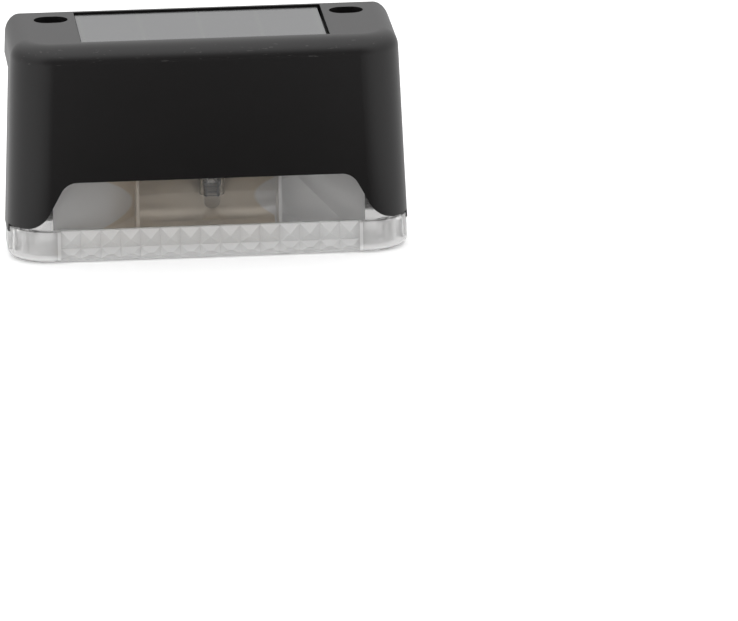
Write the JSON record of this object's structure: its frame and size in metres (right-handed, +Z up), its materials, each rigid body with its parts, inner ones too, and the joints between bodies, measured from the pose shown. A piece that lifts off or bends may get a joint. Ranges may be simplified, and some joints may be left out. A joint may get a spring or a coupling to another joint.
{
  "type": "fence light",
  "caption": "Black solar light for a fence rail or step edge, with an L-shaped back, a panel in its top and a clear prism lens under a reflector.",
  "frame": {"origin": "centre of the bounding box at the bottom of the lens, on which the light stands", "axes": "+X to the right along the width, +Y to the back, towards the rail, +Z up"},
  "size_m": [0.121, 0.0455, 0.0665],
  "materials": {
    "black_shell": "matt moulded ABS",
    "clear_lens": "clear moulded polystyrene",
    "silver_mirror": "vacuum metallised",
    "clear_epoxy": "clear cast epoxy",
    "tinned_steel": "tinned",
    "board_green": "solder mask on glass fibre",
    "screw_steel": "nickel plated",
    "chip_black": "moulded epoxy",
    "coil_black": "ferrite with shrink sleeve",
    "can_black": "printed sleeve, left bare",
    "tape_white": "foam tape",
    "silicon": "silicon under resin",
    "panel_resin": "clear cast resin",
    "battery_sleeve": "shrink sleeve",
    "nickel": "nickel strip",
    "foam_black": "closed-cell foam",
    "switch_grey": "moulded",
    "switch_black": "moulded",
    "wire_red": "insulation",
    "wire_black": "insulation",
    "wire_yellow": "insulation",
    "wire_blue": "insulation"
  },
  "bodies": {
    "light": {"battery_cell": "battery_sleeve", "battery_foam": "foam_black", "battery_tabs": "nickel", "battery_wire_black": "wire_black", "battery_wire_red": "wire_red", "board_screws": "screw_steel", "capacitor": "can_black", "circuit_board": "board_green", "cover_screws": "screw_steel", "driver_chip": "chip_black", "housing": "black_shell", "inductor": "coil_black", "led_body": "clear_epoxy", "led_collar": "clear_lens", "led_frame": "tinned_steel", "lens": "clear_lens", "panel_tape": "tape_white", "panel_wire_black": "wire_black", "panel_wire_red": "wire_red", "rear_cover": "black_shell", "reflector": "silver_mirror", "solar_cells": "silicon", "solar_resin": "panel_resin", "solar_substrate": "board_green", "switch_body": "switch_grey", "switch_screws": "screw_steel", "switch_terminals": "tinned_steel", "switch_wire_blue": "wire_blue", "switch_wire_yellow": "wire_yellow"},
    "slider": {"switch_slider": "switch_black"}
  },
  "joints": [
    {"name": "switch_slide", "type": "slide", "parent": "light", "child": "slider", "axis": [1, 0, 0], "range_m": [0, 0.002]}
  ]
}
